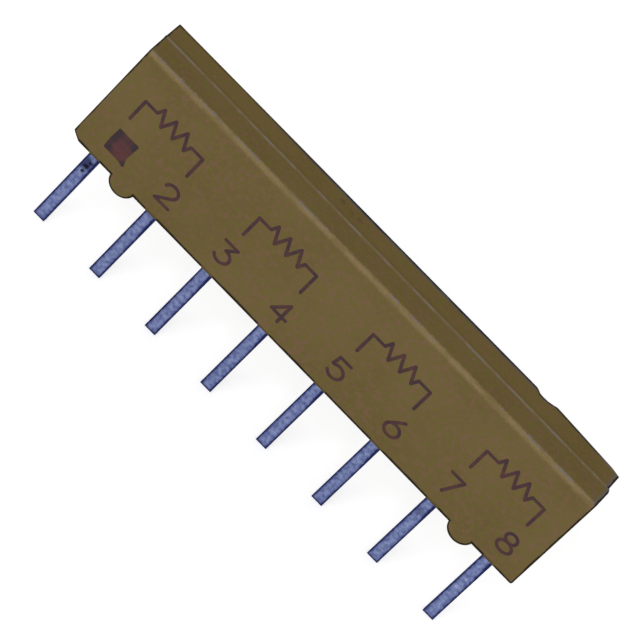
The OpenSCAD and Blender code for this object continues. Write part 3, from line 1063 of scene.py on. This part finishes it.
def seen_directly(tree):
    """1 for a ray from the camera, a reflection or glass, and 0 for one that only gathers light."""
    path = put(tree, "ShaderNodeLightPath").outputs
    return most(tree, path["Is Camera Ray"], path["Is Glossy Ray"], path["Is Transmission Ray"])


def lay_floor(look):
    """A pale floor under the lead tips, lifted to white in the picture, that keeps the shadow."""
    level, reach = CAD_BOX[0].z, look.floor_reach
    corners = [(-reach, -reach), (reach, -reach), (reach, reach), (-reach, reach)]
    data = bpy.data.meshes.new("floor")
    data.from_pydata([(x, y, level) for x, y in corners], [], [(0, 1, 2, 3)])
    floor = bpy.data.objects.new("floor", data)
    bpy.context.scene.collection.objects.link(floor)
    material = bpy.data.materials.new("pale_floor")
    material.use_nodes = True
    tree = material.node_tree
    tree.nodes.clear()
    matt = put(tree, "ShaderNodeBsdfDiffuse", {"Color": (*look.floor, 1)})
    lift = times(tree, seen_directly(tree), look.floor_glow)
    glow = put(tree, "ShaderNodeEmission", {"Strength": lift})
    both = put(tree, "ShaderNodeAddShader", {0: matt.outputs[0], 1: glow.outputs[0]})
    put(tree, "ShaderNodeOutputMaterial", {"Surface": both.outputs[0]})
    data.materials.append(material)


def light_room(look):
    """Even light from all round, which shows as white, and one soft lamp near the camera."""
    world = bpy.data.worlds.new("studio")
    bpy.context.scene.world = world
    world.use_nodes = True
    tree = world.node_tree
    tree.nodes.clear()
    strength = between(tree, seen_directly(tree), look.room, 1.0)
    sky = put(tree, "ShaderNodeBackground", {"Color": (1, 1, 1, 1), "Strength": strength})
    put(tree, "ShaderNodeOutputWorld", {"Surface": sky.outputs[0]})

    lamp = bpy.data.lights.new("soft_lamp", "AREA")
    lamp.shape = "SQUARE"
    lamp.size = look.key_size
    lamp.energy = look.key
    key = bpy.data.objects.new("soft_lamp", lamp)
    bpy.context.scene.collection.objects.link(key)
    turn, height = look.key_turn, look.key_elevation
    flat = math.cos(height)
    way = Vector((-math.sin(turn) * flat, -math.cos(turn) * flat, math.sin(height)))
    key.location = Vector(look.target) + way * look.key_distance
    key.rotation_euler = way.to_track_quat("Z", "Y").to_euler()


# The camera's frame in millimetres, and the nearest and the farthest that it sees in metres
FRAME_WIDTH = 36
NEAREST = 0.01
FARTHEST = 10


def set_camera(look):
    """The camera at the photograph's angle, with its roll."""
    turn, height, roll = look.camera_turn, look.camera_elevation, look.camera_roll
    flat = math.cos(height)
    forward = Vector((math.sin(turn) * flat, math.cos(turn) * flat, -math.sin(height)))
    right = Vector((math.cos(turn), -math.sin(turn), 0))
    up = right.cross(forward)
    rolled_right = right * math.cos(roll) + up * math.sin(roll)
    rolled_up = up * math.cos(roll) - right * math.sin(roll)
    place = Vector(look.target) - forward * look.camera_distance
    data = bpy.data.cameras.new("camera")
    data.sensor_width = FRAME_WIDTH
    data.lens = look.lens
    data.clip_start = NEAREST
    data.clip_end = FARTHEST
    camera = bpy.data.objects.new("camera", data)
    bpy.context.scene.collection.objects.link(camera)
    turned = Matrix((rolled_right, rolled_up, -forward)).transposed().to_4x4()
    camera.matrix_world = Matrix.Translation(place) @ turned
    bpy.context.scene.camera = camera


class NETWORK_OT_stage(bpy.types.Operator):
    """Lay the floor, light the room and set the camera"""

    bl_idname = "network.stage"
    bl_label = "Stage"

    def execute(self, context):
        look = context.scene.network_stage
        lay_floor(look)
        light_room(look)
        set_camera(look)
        context.scene.view_settings.view_transform = "Standard"
        return {"FINISHED"}


LOOKS = {
    "network_moulding": MouldingLook,
    "network_leads": LeadLook,
    "network_marking": MarkingLook,
    "network_stage": StageLook,
}
OPERATORS = (
    NETWORK_OT_moulding,
    NETWORK_OT_leads,
    NETWORK_OT_insert,
    NETWORK_OT_marking,
    NETWORK_OT_stage,
)


class NETWORK_PT_looks(bpy.types.Panel):
    """Everything that dresses the resistor network"""

    bl_idname = "NETWORK_PT_looks"
    bl_label = "Resistor Network"
    bl_space_type = "VIEW_3D"
    bl_region_type = "UI"
    bl_category = "Network"

    def draw(self, context):
        for operator in OPERATORS:
            self.layout.operator(operator.bl_idname)
        for name in LOOKS:
            box = self.layout.box()
            look = getattr(context.scene, name)
            for prop in look.bl_rna.properties:
                if prop.identifier not in {"rna_type", "name"}:
                    box.prop(look, prop.identifier)


def register():
    """Adds the looks, the operators and the panel."""
    for name, look in LOOKS.items():
        bpy.utils.register_class(look)
        setattr(bpy.types.Scene, name, PointerProperty(type=look))
    for cls in (*OPERATORS, NETWORK_PT_looks):
        bpy.utils.register_class(cls)


def unregister():
    """Takes the panel, the operators and the looks away again."""
    for cls in (NETWORK_PT_looks, *reversed(OPERATORS)):
        bpy.utils.unregister_class(cls)
    for name, look in reversed(LOOKS.items()):
        delattr(bpy.types.Scene, name)
        bpy.utils.unregister_class(look)


def main():
    """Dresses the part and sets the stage."""
    register()
    bpy.ops.network.stage()
    bpy.ops.network.moulding()
    bpy.ops.network.leads()
    bpy.ops.network.insert()
    bpy.ops.network.marking()


if __name__ == "__main__":
    main()
